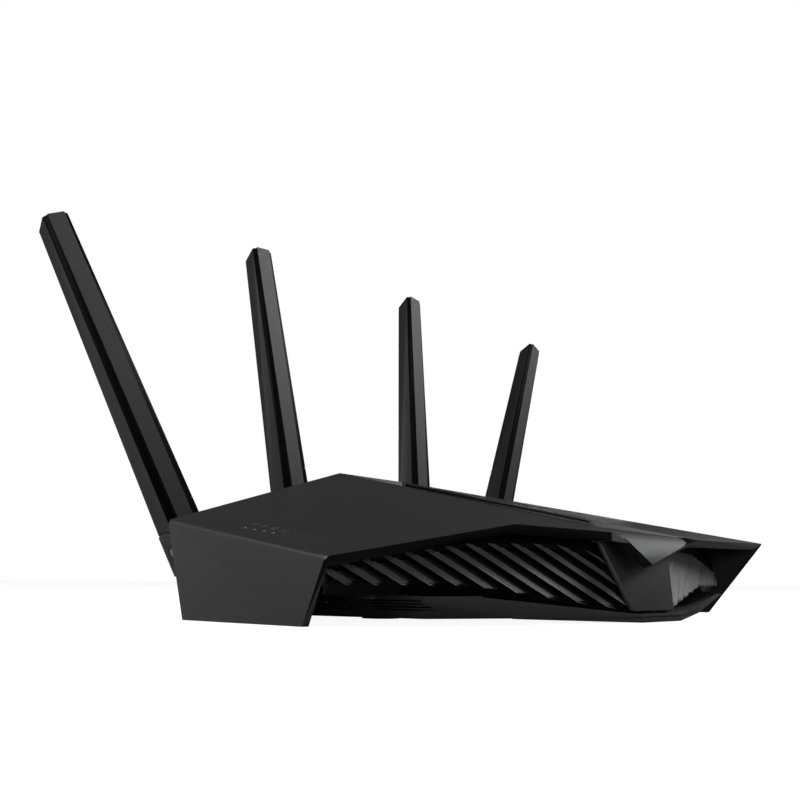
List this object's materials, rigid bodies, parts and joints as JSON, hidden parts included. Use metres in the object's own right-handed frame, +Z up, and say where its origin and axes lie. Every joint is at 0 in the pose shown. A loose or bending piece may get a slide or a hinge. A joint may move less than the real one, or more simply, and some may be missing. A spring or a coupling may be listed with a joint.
{
  "type": "wireless router",
  "caption": "Desktop wireless router with a folded black top cover, side fins, slanted front louvres and fanned blade antennas on swivelling, folding hinges along the rear.",
  "frame": {"origin": "centre of the whole object on the desk surface, antennas included", "axes": "+X to the right seen from the front, +Y towards the rear panel and antennas, +Z up"},
  "size_m": [0.3172, 0.1758, 0.1598],
  "materials": {
    "cover_plastic": "fine textured charcoal moulding",
    "housing_plastic": "fine textured black moulding",
    "fascia_plastic": "satin black moulding",
    "antenna_plastic": "satin black moulding",
    "trim_black": "gloss black",
    "smoked_diffuser": "smoked translucent",
    "led_white": "white package",
    "circuit_board": "green solder mask",
    "screw_steel": "zinc plated",
    "shield_steel": "tinned",
    "thermal_pad": "soft silicone",
    "sink_aluminium": "extruded",
    "component_dark": "moulded package",
    "jack_blue": "moulded",
    "jack_yellow": "moulded",
    "button_black": "satin",
    "button_red": "satin",
    "light_pipe_clear": "clear acrylic",
    "coax_grey": "jacket",
    "foot_rubber": "matt",
    "radiator_copper": "copper clad"
  },
  "bodies": {
    "housing": {"top_cover": "cover_plastic", "accent_strip": "trim_black", "rear_hood": "housing_plastic", "lower_housing": "housing_plastic", "rear_panel": "housing_plastic", "louvre_left": "fascia_plastic", "louvre_right": "fascia_plastic", "nose_panel": "fascia_plastic", "light_guide_left": "smoked_diffuser", "light_guide_right": "smoked_diffuser", "led_strips": "led_white", "main_board": "circuit_board", "board_screws": "screw_steel", "soc_shield": "shield_steel", "radio_shields": "shield_steel", "thermal_pad": "thermal_pad", "heatsink": "sink_aluminium", "board_components": "component_dark", "wan_port": "jack_blue", "lan_port_1": "jack_yellow", "lan_port_2": "jack_yellow", "lan_port_3": "jack_yellow", "lan_port_4": "jack_yellow", "usb_port": "shield_steel", "dc_jack": "trim_black", "power_switch": "component_dark", "wps_switch": "component_dark", "reset_switch": "component_dark", "light_switch": "component_dark", "status_leds": "led_white", "status_light_pipes": "light_pipe_clear", "coax_leads": "coax_grey", "rubber_feet": "foot_rubber", "housing_screws": "screw_steel"},
    "swivel_left_outer": {"swivel_1": "antenna_plastic", "fold_pin_1": "screw_steel"},
    "blade_left_outer": {"antenna_1": "antenna_plastic", "radiator_1": "radiator_copper"},
    "swivel_left_inner": {"swivel_2": "antenna_plastic", "fold_pin_2": "screw_steel"},
    "blade_left_inner": {"antenna_2": "antenna_plastic", "radiator_2": "radiator_copper"},
    "swivel_right_inner": {"swivel_3": "antenna_plastic", "fold_pin_3": "screw_steel"},
    "blade_right_inner": {"antenna_3": "antenna_plastic", "radiator_3": "radiator_copper"},
    "swivel_right_outer": {"swivel_4": "antenna_plastic", "fold_pin_4": "screw_steel"},
    "blade_right_outer": {"antenna_4": "antenna_plastic", "radiator_4": "radiator_copper"},
    "power_button_body": {"power_button": "button_black"},
    "wps_button_body": {"wps_button": "button_black"},
    "light_button_body": {"light_button": "button_black"},
    "reset_button_body": {"reset_button": "button_red"}
  },
  "joints": [
    {"name": "fan_left_outer", "type": "hinge", "parent": "housing", "child": "swivel_left_outer", "pos_m": [-0.08898, 0.06811, 0.027], "axis": [0, 1, 0], "range_deg": [-60.7, 29.3]},
    {"name": "fold_left_outer", "type": "hinge", "parent": "swivel_left_outer", "child": "blade_left_outer", "pos_m": [-0.08898, 0.06811, 0.027], "axis": [-0.8721, 0, -0.4894], "range_deg": [-1, 87]},
    {"name": "fan_left_inner", "type": "hinge", "parent": "housing", "child": "swivel_left_inner", "pos_m": [-0.03208, 0.06811, 0.027], "axis": [0, 1, 0], "range_deg": [-32.4, 17.6]},
    {"name": "fold_left_inner", "type": "hinge", "parent": "swivel_left_inner", "child": "blade_left_inner", "pos_m": [-0.03208, 0.06811, 0.027], "axis": [-0.9912, 0, -0.1323], "range_deg": [-5.5, 82.5]},
    {"name": "fan_right_inner", "type": "hinge", "parent": "housing", "child": "swivel_right_inner", "pos_m": [0.04452, 0.06811, 0.027], "axis": [0, 1, 0], "range_deg": [-15, 35]},
    {"name": "fold_right_inner", "type": "hinge", "parent": "swivel_right_inner", "child": "blade_right_inner", "pos_m": [0.04452, 0.06811, 0.027], "axis": [-0.9962, 0, 0.0872], "range_deg": [-7, 81]},
    {"name": "fan_right_outer", "type": "hinge", "parent": "housing", "child": "swivel_right_outer", "pos_m": [0.10142, 0.06811, 0.027], "axis": [0, 1, 0], "range_deg": [-23.4, 66.6]},
    {"name": "fold_right_outer", "type": "hinge", "parent": "swivel_right_outer", "child": "blade_right_outer", "pos_m": [0.10142, 0.06811, 0.027], "axis": [-0.9178, 0, 0.3971], "range_deg": [-3.5, 84.5]},
    {"name": "power_press", "type": "slide", "parent": "housing", "child": "power_button_body", "axis": [0, -1, 0], "range_m": [0, 0.002], "stiffness_N_per_m": 300, "springref_m": -0.001},
    {"name": "wps_press", "type": "slide", "parent": "housing", "child": "wps_button_body", "axis": [0, -1, 0], "range_m": [0, 0.001], "stiffness_N_per_m": 300, "springref_m": -0.001},
    {"name": "light_press", "type": "slide", "parent": "housing", "child": "light_button_body", "axis": [0, -1, 0], "range_m": [0, 0.001], "stiffness_N_per_m": 300, "springref_m": -0.001},
    {"name": "reset_press", "type": "slide", "parent": "housing", "child": "reset_button_body", "axis": [0, -1, 0], "range_m": [0, 0.001], "stiffness_N_per_m": 300, "springref_m": -0.001}
  ]
}
